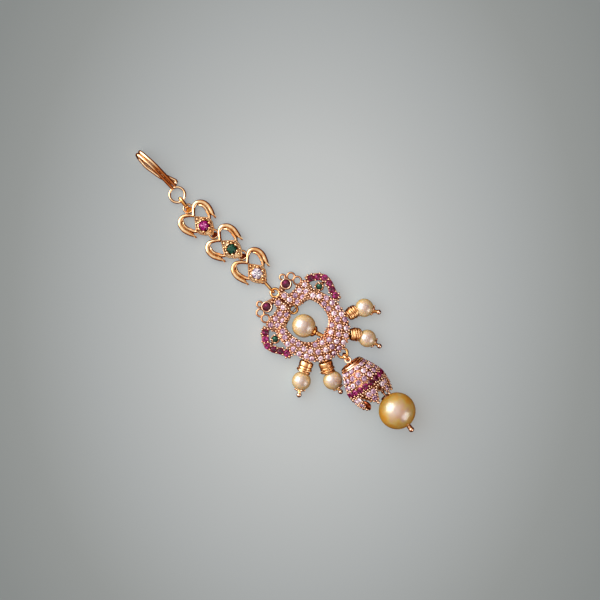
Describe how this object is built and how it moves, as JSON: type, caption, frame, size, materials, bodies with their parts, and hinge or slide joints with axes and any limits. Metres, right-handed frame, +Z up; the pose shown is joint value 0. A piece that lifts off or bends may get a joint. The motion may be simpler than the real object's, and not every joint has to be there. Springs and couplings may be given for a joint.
{
  "type": "maang tikka",
  "caption": "Gold forehead jewel with hair hook, linked hearts, paved peacock medallion with pearl drops, petalled bell and large golden pearl, lying face up",
  "frame": {"origin": "middle of the footprint, on the surface that the jewel lies on", "axes": "+Y runs from the big pearl to the hair hook, +X is to the right as seen from above with the hook away from the viewer, +Z is up out of the jewel's face"},
  "size_m": [0.0302, 0.0978, 0.011],
  "materials": {
    "gold": "polished rose-gold plating",
    "cream_pearl": "pearl lustre",
    "golden_pearl": "pearl lustre",
    "ruby": "faceted",
    "emerald": "faceted",
    "white_stone": "faceted"
  },
  "bodies": {
    "root": {"hair_hook": "gold", "top_link": "gold", "heart_1": "gold", "heart_2": "gold", "heart_3": "gold", "heart_stone_1": "ruby", "heart_stone_2": "emerald", "heart_stone_3": "white_stone", "medallion_link": "gold", "medallion": "gold", "head_ruby_left": "ruby", "emerald_left": "emerald", "head_ruby_right": "ruby", "emerald_right": "emerald", "centre_pearl": "cream_pearl", "sleeve_1": "gold", "drop_pearl_1": "cream_pearl", "drop_pin_1": "gold", "sleeve_2": "gold", "drop_pearl_2": "cream_pearl", "drop_pin_2": "gold", "sleeve_3": "gold", "drop_pearl_3": "cream_pearl", "drop_pin_3": "gold", "sleeve_4": "gold", "drop_pearl_4": "cream_pearl", "drop_pin_4": "gold", "bell_link": "gold", "bell": "gold", "bell_pin": "gold", "big_pearl_cap": "gold", "big_pearl": "golden_pearl", "pearl_pin": "gold"}
  },
  "joints": []
}
